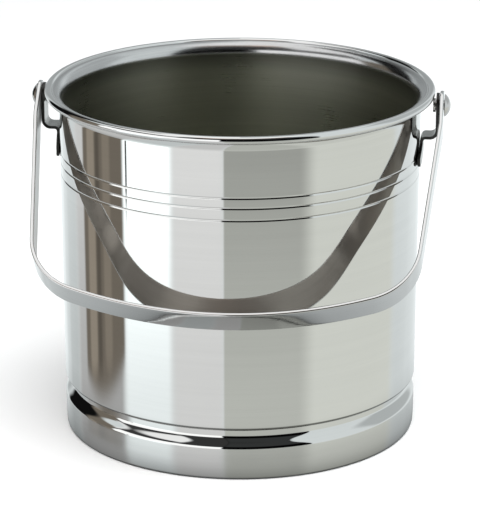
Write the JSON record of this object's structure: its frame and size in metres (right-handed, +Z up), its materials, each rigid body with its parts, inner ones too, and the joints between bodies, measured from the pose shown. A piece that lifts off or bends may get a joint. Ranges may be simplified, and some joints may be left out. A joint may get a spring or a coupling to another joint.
{
  "type": "ice bucket",
  "caption": "Round double-walled metal ice bucket with a flared rolled rim, grooved wall, stepped foot and a flat strap bail that swings on riveted ears.",
  "frame": {"origin": "centre of the flat floor of the foot, on the bucket's axis, at the level of the surface it stands on", "axes": "+Z up along the bucket's axis; X through both bail pivots; the bail hangs down at the front, which is -Y"},
  "size_m": [0.22, 0.2078, 0.1844],
  "materials": {
    "polished_steel": "polished",
    "satin_steel": "satin",
    "ear_steel": "polished",
    "rivet_steel": "polished",
    "bail_steel": "polished",
    "white_foam": "matte"
  },
  "bodies": {
    "bucket": {"outer_shell": "polished_steel", "inner_liner": "satin_steel", "base_cup": "polished_steel", "insulation_sleeve": "white_foam", "insulation_disc": "white_foam", "right_ear": "ear_steel", "right_rivet": "rivet_steel", "left_ear": "ear_steel", "left_rivet": "rivet_steel"},
    "bail": {"bail_handle": "bail_steel"}
  },
  "joints": [
    {"name": "bail_swing", "type": "hinge", "parent": "bucket", "child": "bail", "pos_m": [0, 0, 0.176], "axis": [-1, 0, 0], "range_deg": [0, 262.4]}
  ]
}
